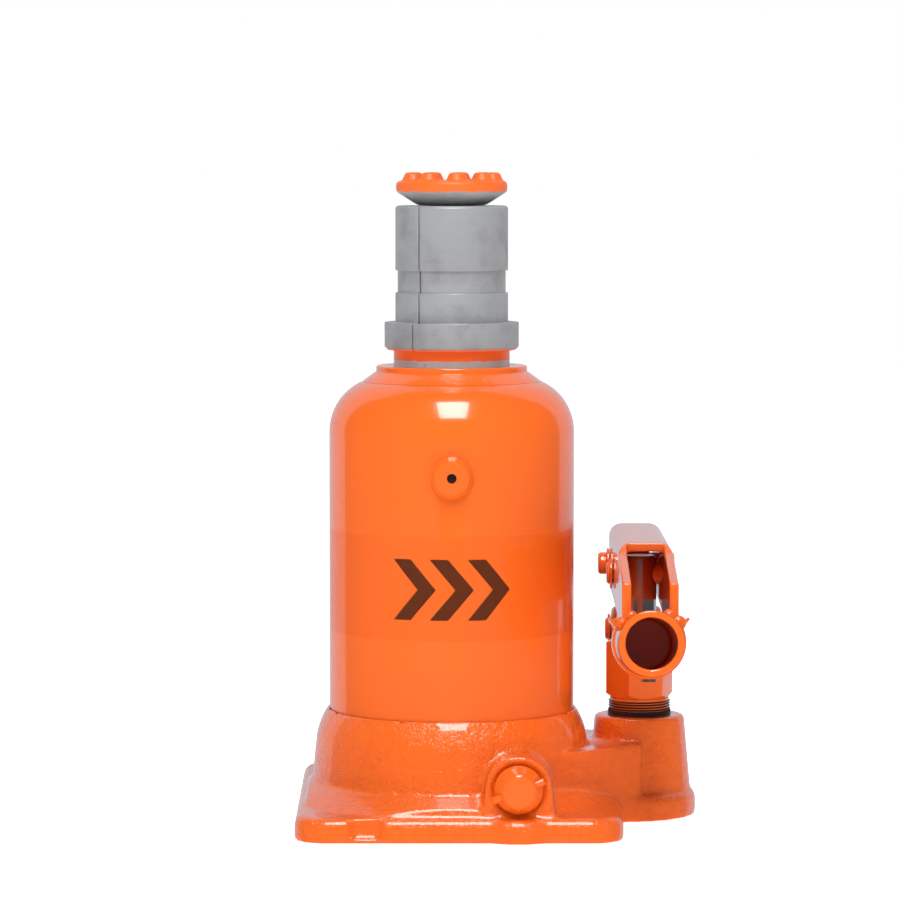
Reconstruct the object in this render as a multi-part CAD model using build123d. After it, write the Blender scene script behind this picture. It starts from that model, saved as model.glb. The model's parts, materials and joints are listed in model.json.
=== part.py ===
from build123d import *
import math
import os

# Two-stage hydraulic bottle jack with a lever pump.
# Millimetres, +Z up. The origin is on the tank's axis, on the ground.
# The release valve faces -Y and the pump stands on the +X side.

# ---- driving sizes -------------------------------------------------------------
tank_diameter = 115.0
tank_wall = 4.0
tank_straight_top = 183.0        # height where the shoulder starts
shoulder_radius = 25.5
ring_depth = 21.5                # how deep the tank stands in the base ring
plate_width = 150.7              # base plate, left to right
plate_depth = 160.0              # base plate, front to back
plate_offset = 3.35              # plate centre, right of the tank axis
plate_edge = 11.0                # thickness at the plate's front edge
plate_back = 16.5                # thickness at its back edge
plate_corner = 15.0
deck_top = 19.5                  # where the sloping deck meets the ring
tank_floor = 30.0                # floor of the oil space
chamber_floor = 16.0             # floor inside the pressure cylinder
ram_diameter = 54.4              # first ram
ram_bore = 43.0
second_ram_diameter = 38.0
cylinder_gap = 3.8               # oil gap round the first ram
cylinder_wall = 5.0
ram_travel = 150.0
screw_diameter = 24.0
screw_travel = 70.0
pump_reach = 31.7                # pump axis, out from the tank wall
pump_y = 16.0
pump_hex = 28.0                  # across flats
plunger_diameter = 12.0
pin_diameter = 10.6
lever_width = 25.5
lever_wall = 4.2
socket_outer = 29.5
socket_inner = 23.3
socket_length = 74.5
socket_tilt = 6.8                # degrees, mouth up
valve_x = 30.5
valve_z = 24.2

# ---- clearances ----------------------------------------------------------------
slide_fit = 0.05                 # radial, pieces that slide or turn
seat_fit = 0.05                  # radial, pieces that sit still in a bore
seal_room = 0.1                  # seals in their grooves
face_gap = 0.25                  # faces of two moving bodies at rest
side_gap = 0.5                   # link and plunger eye, each side

# ---- places worked out from them -----------------------------------------------
tank_radius = tank_diameter / 2
gasket_thick = 2.0
tank_bottom = tank_floor + gasket_thick
ring_top = tank_bottom + ring_depth
ram_radius = ram_diameter / 2
second_radius = second_ram_diameter / 2
bore_radius = ram_bore / 2
cylinder_bore = ram_radius + cylinder_gap
cylinder_radius = cylinder_bore + cylinder_wall
nut_spigot = cylinder_radius + 2.0
nut_seat = nut_spigot + 4.0
shoulder_centre = tank_radius - shoulder_radius
shoulder_rise = math.sqrt(shoulder_radius ** 2 - (nut_seat - shoulder_centre) ** 2)
shoulder_top = tank_straight_top + shoulder_rise
nut_top = shoulder_top + 7.5
nut_foot = nut_top - 24.0
nut_rim = ram_radius + 8.2
foot_top = nut_foot - ram_travel
flange_z = nut_top + 7.4
flange_radius = ram_radius + 4.3
flange_height = 12.9
collar_radius = ram_radius - 0.8
collar_height = 67.4
collar_top = flange_z + collar_height
neck_radius = ram_radius - 3.2
neck_top = collar_top - 14.8
guide_foot = collar_top - 12.8
ram_floor = chamber_floor + 14.0
saddle_z = collar_top + 0.2
saddle_radius = 26.1
screw_radius = screw_diameter / 2
screw_foot = collar_top - screw_travel - 41.0
thread_foot = screw_foot + screw_travel + 3.0
pump_x = tank_radius + pump_reach
pump_at = (pump_x, pump_y)
boss_top = 47.5
boss_radius = 21.2
boss_flare = 4.2                 # how much wider the boss is at its foot
hex_foot = boss_top + 7.0
hex_top = hex_foot + 29.0
shank_foot = 24.0
shank_radius = 13.0
plunger_radius = plunger_diameter / 2
pump_floor = 28.0
pin_radius = pin_diameter / 2
eye_y = pump_y                   # plunger pin
eye_z = hex_top + 31.0
fulcrum_y = pump_y + 38.5        # pin at the back of the lever
fulcrum_z = eye_z + 1.0
link_foot_y = fulcrum_y - 2.6    # pin in the base lug
link_foot_z = fulcrum_z - 31.5
link_thick = 12.0
link_eye = pin_radius + 5.2
lug_width = link_thick + 2 * side_gap + 11.6
lever_half = lever_width / 2
lever_inner = lever_half - lever_wall
lever_top = eye_z + 19.5
lever_front = pump_y - 113.0
lever_back = pump_y + 51.0
web_front = pump_y - 58.0
mouth_y = pump_y - 126.0
mouth_z = eye_z - 19.5
socket_radius = socket_outer / 2
socket_depth = 60.0
valve_face = -(plate_depth / 2 - 4.0)
valve_bore_end = -(tank_radius - 6.5)
seat_radius = 2.2
ball_radius = 3.6
check_ball = 3.17
check_bore = 3.5
plug_radius = 5.0
plug_length = 6.0
plug_recess = 1.0

base_align = (Align.CENTER, Align.CENTER, Align.MIN)


# ---- helpers -------------------------------------------------------------------
def disc(radius, low, high, at=(0, 0)):
    return Pos(at[0], at[1], low) * Cylinder(radius, high - low, align=base_align)


def ring(outer, inner, low, high, at=(0, 0)):
    return disc(outer, low, high, at) - disc(inner, low, high, at)


def cone(low_radius, high_radius, low, high, at=(0, 0)):
    return Pos(at[0], at[1], low) * Cone(low_radius, high_radius, high - low, align=base_align)


def turned(points, at=(0, 0)):
    """A turned piece from its half outline of (radius, height) points."""
    face = make_face(Plane.XZ * Polyline(*points, close=True))
    return Pos(at[0], at[1], 0) * revolve(face, Axis.Z)


def drill(start, end, radius):
    run = Vector(*end) - Vector(*start)
    return extrude(Plane(origin=start, z_dir=run) * Circle(radius), run.length)


def block(x0, x1, y0, y1, z0, z1):
    size = Box(x1 - x0, y1 - y0, z1 - z0, align=(Align.MIN, Align.MIN, Align.MIN))
    return Pos(x0, y0, z0) * size


def along_x(shape, y, z):
    """Lays a piece built along Z along +X."""
    return Pos(0, y, z) * Rot(0, 90, 0) * shape


def along_front(shape, x, z):
    """Lays a piece built along Z along -Y."""
    return Pos(x, 0, z) * Rot(90, 0, 0) * shape


def side_plate(points, x0, x1):
    """A plate cut to an outline of (y, z) points, from x0 to x1."""
    face = make_face(Plane.YZ * Polyline(*points, close=True))
    return Pos(x0, 0, 0) * extrude(face, x1 - x0)


def side_link(y0, z0, y1, z1, radius, x0, x1):
    """A straight link with round ends round (y0, z0) and (y1, z1)."""
    length = math.hypot(y1 - y0, z1 - z0)
    turn = math.degrees(math.atan2(z1 - z0, y1 - y0))
    bar = SlotCenterToCenter(length, 2 * radius)
    sketch = Plane.YZ * Pos((y0 + y1) / 2, (z0 + z1) / 2) * Rot(0, 0, turn) * bar
    return Pos(x0, 0, 0) * extrude(sketch, x1 - x0)


def spring(radius, wire, low, high, turns, at):
    path = Helix((high - low - 2 * wire) / turns, high - low - 2 * wire, radius)
    coil = sweep(Plane(path @ 0, z_dir=path % 0) * Circle(wire), path=path)
    return Pos(at[0], at[1], low + wire) * coil


# ---- tank and the pieces round it ----------------------------------------------
def shoulder_arc(radius, end_radius):
    """The tank's shoulder, from the straight wall in to end_radius."""
    end_angle = math.acos((end_radius - shoulder_centre) / radius)
    points = []
    for angle in (0, end_angle / 2, end_angle):
        points.append((shoulder_centre + radius * math.cos(angle),
                       tank_straight_top + radius * math.sin(angle)))
    return points


mouth_radius = nut_spigot + seat_fit


def tank_shell():
    outer = shoulder_arc(shoulder_radius, nut_seat)
    inner = shoulder_arc(shoulder_radius - tank_wall, mouth_radius)
    outline = Polyline((tank_radius - tank_wall, tank_bottom), (tank_radius, tank_bottom), outer[0])
    outline += ThreePointArc(*outer)
    outline += Polyline(outer[-1], (mouth_radius, outer[-1][1]), inner[-1])
    outline += ThreePointArc(*inner[::-1])
    outline += Line(inner[0], (tank_radius - tank_wall, tank_bottom))
    shell = revolve(make_face(Plane.XZ * outline), Axis.Z)
    return shell - plug_shank(plug_hole)


plug_z = 165.0
plug_hole = 7.0
plug_head = 9.9
plug_face = 7.85
plug_proud = 4.0


def plug_shank(radius):
    shank = disc(radius, tank_radius - 2 * tank_wall, tank_radius + tank_wall)
    return along_front(shank, 0, plug_z)


def filler_plug():
    face = tank_radius + plug_proud
    hidden = tank_radius - tank_wall - 3.0
    head = turned([(0, tank_radius - 2.0), (plug_head, tank_radius - 2.0),
                   (plug_head, tank_radius + 0.6), (plug_face, face), (2.25, face),
                   (2.25, face - 2.5), (0, face - 2.5)])
    head = along_front(head, 0, plug_z) - disc(tank_radius, 0, nut_top)
    stem = disc(plug_hole - seat_fit, tank_radius - tank_wall - 1.0, tank_radius + 1.0)
    lip = cone(plug_hole - 1.0, plug_hole + 0.8, hidden, tank_radius - tank_wall - 1.0)
    return head + along_front(stem + lip, 0, plug_z)


wiper_low = 6.0
wiper_high = 1.5
wiper_depth = 3.5


def top_nut():
    bore = ram_radius + slide_fit
    seal_low = nut_foot + 11.5
    nut = turned([(bore, nut_foot), (cylinder_bore - seat_fit, nut_foot),
                  (cylinder_bore - seat_fit, nut_foot + 10.0),
                  (cylinder_radius + seat_fit, nut_foot + 10.0),
                  (cylinder_radius + seat_fit, nut_foot + 2.0), (nut_spigot, nut_foot + 2.0),
                  (nut_spigot, shoulder_top), (nut_seat, shoulder_top),
                  (nut_rim + 1.2, nut_top - 3.5), (nut_rim, nut_top - 2.8),
                  (nut_rim, nut_top - 0.5), (nut_rim - 0.5, nut_top), (bore, nut_top)])
    nut -= ring(ram_radius + wiper_depth, bore - 1, nut_top - wiper_low, nut_top - wiper_high)
    nut -= ring(nut_spigot + 1, nut_spigot - 2, seal_low, seal_low + 2.5)
    return nut


def top_nut_seal():
    low = nut_foot + 11.5
    return ring(nut_spigot, nut_spigot - 2 + seal_room, low + seal_room, low + 2.5 - seal_room)


def ram_wiper():
    return ring(ram_radius + wiper_depth - seal_room, ram_radius + slide_fit,
                nut_top - wiper_low + seal_room, nut_top - wiper_high - seal_room)


def pressure_cylinder():
    return ring(cylinder_radius, cylinder_bore, chamber_floor + gasket_thick, nut_foot + 10.0)


def cylinder_gasket():
    return ring(cylinder_radius, cylinder_bore, chamber_floor, chamber_floor + gasket_thick)


def tank_base_gasket():
    return ring(tank_radius, tank_radius - tank_wall, tank_floor, tank_bottom)


# ---- base casting --------------------------------------------------------------
lug_x0 = pump_x - lug_width / 2
lug_x1 = pump_x + lug_width / 2
wall_foot_radius = tank_radius + 8.5
ridge_radius = tank_radius + 6.1
ridge_z = ring_top - 13.0
web_top = 36.0
arch_radius = 15.2
overload_at = (tank_radius - 12.5, -25.0)
delivery_at = (tank_radius + 0.5, pump_y)
gallery_z = 10.0
gallery_radius = 1.5
ball_spot = -valve_bore_end + 0.6 - ball_radius - face_gap    # ball centre, along -Y
seat_spot = ball_spot - math.sqrt(ball_radius ** 2 - seat_radius ** 2)
gallery_y = -(ball_spot - 8.0)


def rounded_plate(sketch, height, radius):
    plate = extrude(sketch, height)
    return fillet(plate.edges().group_by(Axis.Z)[-1], radius)


def ring_wall():
    top = Polyline((0, 0), (wall_foot_radius, 0), (wall_foot_radius, deck_top - 2),
                   (ridge_radius, ridge_z))
    bevel = ThreePointArc((ridge_radius, ridge_z), (tank_radius + 4.0, ring_top - 6.2),
                          (tank_radius + 0.7, ring_top))
    rest = Polyline((tank_radius + 0.7, ring_top), (0, ring_top), (0, 0))
    return revolve(make_face(Plane.XZ * (top + bevel + rest)), Axis.Z)


def fulcrum_lug():
    lug = side_link(link_foot_y, link_foot_z, link_foot_y, 0, 11.0, lug_x0, lug_x1)
    lug &= block(lug_x0, lug_x1, 0, plate_depth, 0, hex_top + plate_depth)
    top = lug.edges().group_by(Axis.Z)[-1]
    rib = side_plate([(pump_y, 0), (link_foot_y + 11, 0), (link_foot_y + 11, plate_edge),
                      (link_foot_y + 11, boss_top - 8), (pump_y, boss_top - 8)], lug_x0, lug_x1)
    lug = fillet(top, 2.0) + rib
    half_slot = link_thick / 2 + side_gap
    lug -= block(pump_x - half_slot, pump_x + half_slot, pump_y + boss_radius + 2.0,
                 plate_depth, link_foot_z - link_eye - 2.5, plate_depth)
    hole = disc(pin_radius + seat_fit, lug_x0 - 1, lug_x1 + 1)
    return lug - along_x(hole, link_foot_y, link_foot_z)


def release_boss():
    front = -valve_face
    arch = along_front(disc(arch_radius, tank_radius - 20, front), valve_x, valve_z)
    skirt = Plane.XZ * make_face(Polyline(
        (valve_x - 18.5, 0), (valve_x + 18.5, 0), (valve_x + 17, 9.0),
        (valve_x + arch_radius, valve_z), (valve_x - arch_radius, valve_z),
        (valve_x - 17, 9.0), close=True))
    skirt = Pos(0, -(tank_radius - 20), 0) * extrude(skirt, front - tank_radius + 20)
    return arch + skirt


def check_bores():
    suction = disc(plug_radius, 0, plug_recess + plug_length, pump_at)
    suction += disc(check_bore, 0, pump_floor, pump_at)
    delivery = disc(plug_radius, 0, plug_recess + plug_length, delivery_at)
    delivery += disc(check_bore, 0, web_top - 12.0, delivery_at)
    overload = disc(plug_radius, 0, plug_recess + plug_length, overload_at)
    overload += disc(check_bore, 0, tank_floor - 8.0, overload_at)
    delivery_x = delivery_at[0]
    galleries = [
        ((pump_x, pump_y, 20.0), (delivery_x, pump_y, 20.0)),
        ((delivery_x, pump_y, gallery_z), (valve_x - 20.0, pump_y, gallery_z)),
        ((valve_x - 20.0, pump_y, gallery_z), (valve_x - 20.0, pump_y, chamber_floor + 1)),
        ((valve_x, gallery_y, gallery_z), (valve_x, pump_y, gallery_z)),
        ((valve_x, gallery_y, gallery_z), (valve_x, gallery_y, valve_z)),
        ((overload_at[0], overload_at[1], 18.0), (valve_x, overload_at[1], gallery_z)),
    ]
    cuts = suction + delivery + overload
    for start, end in galleries:
        cuts += drill(start, end, gallery_radius)
    return cuts


def release_bore():
    bore = disc(8.05, -valve_bore_end, -valve_face + 1)
    bore += disc(ball_radius + slide_fit, seat_spot - slide_fit, -valve_bore_end + 1)
    bore += disc(seat_radius, -gallery_y - gallery_radius - 1.0, ball_spot)
    pocket = cone(10.6, 13.2, -valve_face - 3.2, -valve_face + 0.1)
    return along_front(bore + pocket, valve_x, valve_z)


def base_casting():
    footprint = Pos(plate_offset, 0) * RectangleRounded(plate_width, plate_depth, plate_corner)
    inset = Pos(plate_offset, 0) * RectangleRounded(plate_width - 9, plate_depth - 9,
                                                    plate_corner - 4)
    half = plate_depth / 2
    slope = side_plate([(-half, 0), (half, 0), (half, plate_back), (-half, plate_edge)],
                       plate_offset - plate_width, plate_offset + plate_width)
    plate = slope & extrude(footprint, plate_back)
    body = fillet(plate.faces().sort_by(Axis.Z)[-1].edges(), 4.5)
    foot_at = (pump_x - 6.5, pump_y + 1.0)
    body += rounded_plate(Pos(*foot_at) * Circle(boss_radius + 12.1), plate_edge + 1, 4.0)
    body += rounded_plate(Pos(valve_x, -plate_depth / 2 + 19.5) * Circle(23.0), plate_edge, 4.5)
    deck = cone(wall_foot_radius + 24, wall_foot_radius, plate_edge - 2.5, deck_top)
    body += deck & extrude(inset, deck_top)
    boss = cone(boss_radius + boss_flare, boss_radius, 0, boss_top, pump_at)
    web = extrude(make_hull((Circle(wall_foot_radius - 2) + Pos(*pump_at) * Circle(boss_radius))
                            .edges()), web_top)
    body += web & block(tank_radius / 2, pump_x, -plate_depth, plate_depth, 0, web_top)
    body += fillet(boss.edges().group_by(Axis.Z)[-1], 1.5)
    body += ring_wall()
    body += fulcrum_lug()
    body += release_boss()
    body -= disc(tank_radius + seat_fit, tank_floor, ring_top + 1)
    body -= disc(cylinder_radius + seat_fit, chamber_floor, tank_floor + 1)
    body -= disc(shank_radius + seat_fit, shank_foot - gasket_thick, boss_top + 1, pump_at)
    body -= release_bore()
    body -= check_bores()
    front = -plate_depth / 2
    notch = Plane.XY * make_face(Polyline(
        (-48, front - 1), (-45, front + 3.2), (-33, front + 3.2), (-30, front - 1), close=True))
    return body - Pos(0, 0, 2.0) * extrude(notch, plate_edge)


# ---- first ram -----------------------------------------------------------------
groove_depth = 3.0


def ring_groove(radius, low, height):
    return ring(radius + 1, radius - groove_depth, low, low + height)


def ring_in_groove(radius, low, height):
    return ring(radius, radius - groove_depth + seal_room, low + seal_room,
                low + height - seal_room)


first_foot_radius = cylinder_bore - slide_fit
first_seal_z = chamber_floor + 5.0
first_bearing_z = chamber_floor + 14.0


def first_ram():
    low = chamber_floor + face_gap
    ram = turned([(5.0, low), (first_foot_radius - 1, low), (first_foot_radius, low + 1),
                  (first_foot_radius, foot_top - 1), (first_foot_radius - 1, foot_top),
                  (ram_radius, foot_top), (ram_radius, flange_z), (neck_radius, flange_z),
                  (neck_radius, neck_top), (bore_radius, neck_top),
                  (bore_radius, ram_floor), (5.0, ram_floor)])
    ram -= ring_groove(first_foot_radius, first_seal_z, 6.0)
    return ram - ring_groove(first_foot_radius, first_bearing_z, 5.0)


slit_width = 0.7
slit_angle = -125.5              # direction of the slit, seen from above
collar_wiper_z = collar_top - 7.0


def head_collar():
    groove_low = flange_z + 26.7
    collar = turned([(neck_radius + seat_fit, flange_z), (flange_radius - 1.5, flange_z),
                     (flange_radius, flange_z + 1.5), (flange_radius, flange_z + flange_height),
                     (collar_radius, flange_z + flange_height), (collar_radius, groove_low),
                     (collar_radius - 1.1, groove_low), (collar_radius - 1.1, groove_low + 10.5),
                     (collar_radius, groove_low + 10.5), (collar_radius, collar_top - 1.0),
                     (collar_radius - 1.0, collar_top), (second_radius + slide_fit, collar_top),
                     (second_radius + slide_fit, guide_foot),
                     (neck_radius + seat_fit, guide_foot)])
    collar -= ring(second_radius + 3, second_radius - 1, collar_wiper_z, collar_wiper_z + 4)
    slit = block(collar_radius - 3.2, flange_radius + 1, -slit_width / 2, slit_width / 2,
                 flange_z - 1, collar_top + 1)
    return collar - Rot(0, 0, slit_angle) * slit


def collar_wiper():
    return ring(second_radius + 3 - seal_room, second_radius + slide_fit,
                collar_wiper_z + seal_room, collar_wiper_z + 4 - seal_room)


# ---- second ram and the screw in it --------------------------------------------
second_foot_radius = bore_radius - slide_fit
second_low = ram_floor + face_gap
second_seal_z = second_low + 4.0
second_bearing_z = second_low + 12.0
second_stop_top = guide_foot - ram_travel - face_gap


def second_ram():
    ram = turned([(0, second_low), (second_foot_radius, second_low),
                  (second_foot_radius, second_low + 20), (second_radius, second_low + 20),
                  (second_radius, collar_top), (screw_radius + slide_fit, collar_top),
                  (screw_radius + slide_fit, thread_foot), (screw_radius + 2, thread_foot),
                  (screw_radius + 2, screw_foot - 8), (0, screw_foot - 11)])
    ram -= ring_groove(second_foot_radius, second_seal_z, 6.0)
    ram -= ring_groove(second_foot_radius, second_bearing_z, 5.0)
    return ram - ring(second_radius + 1, second_radius - 1.2, second_stop_top - 3,
                      second_stop_top)


def second_ram_stop_ring():
    return ring(bore_radius - face_gap, second_radius - 1.2 + seal_room,
                second_stop_top - 3, second_stop_top)


def screw_stop_ring():
    return ring(screw_radius + 2 - face_gap, screw_radius - 2 + slide_fit,
                screw_foot + 0.5, screw_foot + 2.5)


def extension_screw():
    screw = turned([(0, screw_foot - 1), (screw_radius - 2, screw_foot - 1),
                    (screw_radius - 2, screw_foot + 3), (screw_radius, screw_foot + 4.5),
                    (screw_radius, saddle_z), (8.0, saddle_z), (8.0, saddle_z + 11),
                    (0, saddle_z + 11)])
    return screw


stud_ring = 19.0
stud_count = 9
stud_height = 4.2
rim_low = saddle_z + 6.4
rim_high = saddle_z + 11.2


def saddle():
    disc_piece = turned([(8.0 + seat_fit, saddle_z), (16.0, saddle_z), (saddle_radius, rim_low),
                         (saddle_radius, rim_high - 0.6), (saddle_radius - 0.6, rim_high),
                         (8.0 + seat_fit, rim_high)])
    stud = cone(5.3, 3.6, rim_high - 0.2, rim_high + stud_height)
    stud = fillet(stud.edges().group_by(Axis.Z)[-1], 0.9)
    for step in range(stud_count):
        angle = math.radians(-90 + 360 * (step + 0.18) / stud_count)
        disc_piece += Pos(stud_ring * math.cos(angle), stud_ring * math.sin(angle), 0) * stud
    return disc_piece


# ---- pump ----------------------------------------------------------------------
gland_z = hex_top - 12.0


def pump_body():
    hexagon = extrude(RegularPolygon(pump_hex / 2, 6, major_radius=False), hex_top)
    corner = pump_hex / math.sqrt(3)
    limit = turned([(0, hex_foot), (shank_radius - 1, hex_foot), (corner + 0.5, hex_foot + 3.4),
                    (corner + 0.5, hex_top - 2.0), (shank_radius - 1, hex_top), (0, hex_top)])
    hexagon = Rot(0, 0, 10) * hexagon & limit
    body = hexagon + disc(shank_radius, shank_foot, hex_foot + 1)
    body += disc(shank_radius + 1.0, boss_top + gasket_thick, hex_foot + 1)
    body -= disc(plunger_radius + slide_fit, shank_foot - 1, hex_top + 1)
    body -= ring(plunger_radius + 3, plunger_radius - 1, gland_z, gland_z + 5)
    return Pos(*pump_at) * body


def pump_washer():
    return ring(shank_radius + 1.9, shank_radius + seat_fit, boss_top, boss_top + gasket_thick,
                pump_at)


def pump_seat_washer():
    return ring(shank_radius, plunger_radius, shank_foot - gasket_thick, shank_foot, pump_at)


def pump_gland_seal():
    return ring(plunger_radius + 3 - seal_room, plunger_radius + slide_fit,
                gland_z + seal_room, gland_z + 5 - seal_room, pump_at)


eye_radius = lever_inner - side_gap


def pump_plunger():
    neck_z = hex_top + 1.5
    top = eye_z + eye_radius + 0.4
    plunger = disc(plunger_radius, pump_floor, neck_z + 2, pump_at)
    head = disc(eye_radius, neck_z, top, pump_at)
    rims = head.edges().filter_by(GeomType.CIRCLE)
    plunger += chamfer(rims, 1.2)
    return plunger - along_x(disc(pin_radius + slide_fit, pump_x - 20, pump_x + 20),
                             eye_y, eye_z)


# ---- lever ---------------------------------------------------------------------
tilt = math.radians(socket_tilt)
heel_y = mouth_y + socket_length * math.cos(tilt)
heel_z = mouth_z - socket_length * math.sin(tilt)
mouth = Plane(origin=(pump_x, mouth_y, mouth_z), x_dir=(1, 0, 0),
              z_dir=(0, math.cos(tilt), -math.sin(tilt)))


def lever_channel():
    sag = math.sqrt(socket_radius ** 2 - lever_half ** 2)
    front_edge_z = mouth_z - (lever_front - mouth_y) * math.tan(tilt)
    outline = [(lever_back, fulcrum_z - 11.5), (lever_back, lever_top), (web_front, lever_top),
               (web_front - 7, lever_top - 4.2), (lever_front, lever_top - 13.3),
               (lever_front, front_edge_z + sag), (heel_y, heel_z + sag),
               (heel_y, heel_z + socket_radius - 1.4)]
    plates = side_plate(outline, pump_x - lever_half, pump_x + lever_half)
    long = Axis.Y
    section = block(pump_x - lever_half, pump_x + lever_half, lever_front, lever_back, 0,
                    lever_top)
    tops = section.edges().filter_by(long).group_by(Axis.Z)[-1]
    section = fillet(tops, lever_wall + 1.8)
    inside = block(pump_x - lever_inner, pump_x + lever_inner, lever_front - 1, lever_back + 1,
                   -1, lever_top - lever_wall)
    corners = inside.edges().filter_by(long).group_by(Axis.Z)[-1]
    section -= fillet(corners, 1.8)
    channel = plates & section
    channel -= block(pump_x - lever_inner, pump_x + lever_inner, lever_front - 1, web_front,
                     0, lever_top + 1)
    channel -= extrude(mouth * Circle(socket_radius), socket_length + 1)
    for y, z in ((eye_y, eye_z), (fulcrum_y, fulcrum_z)):
        hole = disc(pin_radius + seat_fit, pump_x - lever_width, pump_x + lever_width)
        channel -= along_x(hole, y, z)
    return channel


clip_out = 30.0                  # from the mouth to the clip's middle
clip_width = 13.0
clip_thick = 1.2
clip_slack = 0.75                # the strap's bend is this much wider than the tube
clip_wrap = 25.0                 # degrees that it wraps past the tube's middle
clip_flare = 4.4                 # how far its ends flare outwards
rivet_radius = 2.0
rivet_head = 3.5
rivet_sink = 1.6                 # depth of the countersink in the tube's wall


def below_tube(start, end, radius, end_radius=None):
    """A disc or cone square to the tube's lower wall, from start to end off its axis."""
    spot = Plane(origin=mouth.from_local_coords((0, start, clip_out)), z_dir=mouth.y_dir)
    if end_radius is None:
        return extrude(spot * Circle(radius), end - start)
    return spot.location * Cone(radius, end_radius, end - start, align=base_align)


def socket_bore():
    return extrude(mouth * Circle(socket_inner / 2), socket_depth)


def rivet_shape(room):
    """The rivet's shank and its countersunk inner head, with room all round."""
    sink = below_tube(socket_inner / 2 - rivet_sink, socket_inner / 2 + rivet_sink,
                      rivet_head + room, rivet_radius + room)
    return sink + below_tube(socket_inner / 2, socket_outer, rivet_radius + room)


def handle_socket():
    tube = extrude(mouth * Circle(socket_radius), socket_length)
    return tube - socket_bore() - rivet_shape(seat_fit)


def spring_clip():
    bend = socket_radius + clip_slack
    outer = bend + clip_thick
    open_half = math.cos(math.radians(clip_wrap)) * outer
    open_edge = -math.sin(math.radians(clip_wrap)) * outer
    strap = Circle(outer) - Circle(bend)
    strap -= Pos(0, open_edge - outer) * Rectangle(3 * outer, 2 * outer)
    for side in (-1, 1):
        root = side * (open_half - clip_thick)
        tip = root + side * clip_flare
        strap += make_face(Polyline((root, open_edge + 0.8), (root + side * 1.4, open_edge + 0.6),
                                    (tip, open_edge - clip_flare * 0.75),
                                    (tip - side * 0.7, open_edge - clip_flare * 0.75 - 0.9),
                                    (root, open_edge - 0.4), close=True))
    start = clip_out - clip_width / 2
    clip = extrude(mouth * Pos(0, -clip_slack, start) * strap, clip_width)
    return clip - below_tube(0, socket_outer, rivet_radius + seat_fit)


def clip_rivet():
    outside = socket_radius + clip_thick
    rivet = rivet_shape(0) - socket_bore() - below_tube(outside + 0.5, socket_outer, rivet_head)
    return rivet + below_tube(outside, outside + 1.3, rivet_head)


# ---- link, pins and their clips -------------------------------------------------
link_play_y = 1.3                # room in the link's upper eye, along and across
link_play_z = 0.8


def fulcrum_link():
    x0 = pump_x - link_thick / 2
    x1 = pump_x + link_thick / 2
    link = side_link(link_foot_y, link_foot_z, fulcrum_y, fulcrum_z, link_eye, x0, x1)
    link -= along_x(disc(pin_radius + slide_fit, x0 - 1, x1 + 1), link_foot_y, link_foot_z)
    eye = side_link(fulcrum_y - link_play_y, fulcrum_z, fulcrum_y + link_play_y, fulcrum_z,
                    pin_radius + link_play_z, x0 - 1, x1 + 1)
    return link - eye


pin_groove = 1.2                 # width of the clip groove near each pin end
pin_neck = pin_radius - 1.0
clip_gap = 0.3                   # between a pin's clip and the plate beside it


def cross_pin(half_span, end, y, z):
    """A pin across the pump, grooved for a clip at each end."""
    low = half_span + clip_gap
    pin = chamfer(disc(pin_radius, -half_span - end, half_span + end).edges(), 0.8)
    for side in (low, -low - pin_groove):
        pin -= ring(pin_radius + 1, pin_neck, side, side + pin_groove)
    return Pos(pump_x, 0, 0) * along_x(pin, y, z)


def pin_clips(half_span, y, z):
    """Two open retaining clips in a pin's grooves."""
    low = half_span + clip_gap + 0.1
    thick = pin_groove - 0.2
    clips = []
    for side in (low, -low - thick):
        clip = ring(pin_radius + 2.2, pin_neck + 0.05, side, side + thick)
        clip -= block(-pin_radius * 2, 0, -2.6, 2.6, side - 1, side + thick + 1)
        clips.append(Pos(pump_x, 0, 0) * along_x(clip, y, z))
    return Compound(children=clips)


fulcrum_pin_end = 5.7
plunger_pin_end = 3.0
base_pin_end = 2.8
lug_half = lug_width / 2

# ---- release valve -------------------------------------------------------------
valve_head_foot = -valve_face + 0.4
valve_head_radius = 10.0
cross_pin_radius = 1.7
cross_pin_z = 3.2                # height of the cross pin above the head's foot
cross_pin_turn = 21.0
release_shank = 8.0


def release_screw():
    inner = -valve_bore_end + 0.6
    screw = turned([(0, inner), (4.0, inner), (4.0, inner + 2.5), (release_shank, inner + 3.5),
                    (release_shank, valve_head_foot - 2.8), (valve_head_radius, valve_head_foot - 2.4),
                    (valve_head_radius + 1.2, valve_head_foot), (7.6, valve_head_foot + 6.0),
                    (7.0, valve_head_foot + 6.5), (0, valve_head_foot + 6.5)])
    screw -= ring(release_shank + 1, release_shank - 1.6, oring_low, oring_low + 2.6)
    screw -= pin_across(cross_pin_radius + seat_fit)
    return along_front(screw, valve_x, valve_z)


oring_low = -valve_face - 8.5


def pin_across(radius):
    """The bar through the release screw's head, built along the screw."""
    bar = Rot(0, 90, 0) * Pos(0, 0, -12.4) * Cylinder(radius, 24.8, align=base_align)
    return Rot(0, 0, cross_pin_turn) * Pos(0, 0, valve_head_foot + cross_pin_z) * bar


def release_cross_pin():
    return along_front(pin_across(cross_pin_radius), valve_x, valve_z)


def release_oring():
    seal = ring(release_shank, release_shank - 1.6 + seal_room, oring_low + seal_room,
                oring_low + 2.6 - seal_room)
    return along_front(seal, valve_x, valve_z)


def release_ball():
    return Pos(valve_x, -ball_spot, valve_z) * Sphere(ball_radius)


# ---- check valves in the base --------------------------------------------------
def valve_ball(at):
    return Pos(at[0], at[1], plug_recess + plug_length + check_ball + 0.1) * Sphere(check_ball)


def valve_ball_on_spring(at):
    return Pos(at[0], at[1], spring_top + check_ball) * Sphere(check_ball)


spring_low = plug_recess + plug_length
spring_top = spring_low + 6.0


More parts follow.
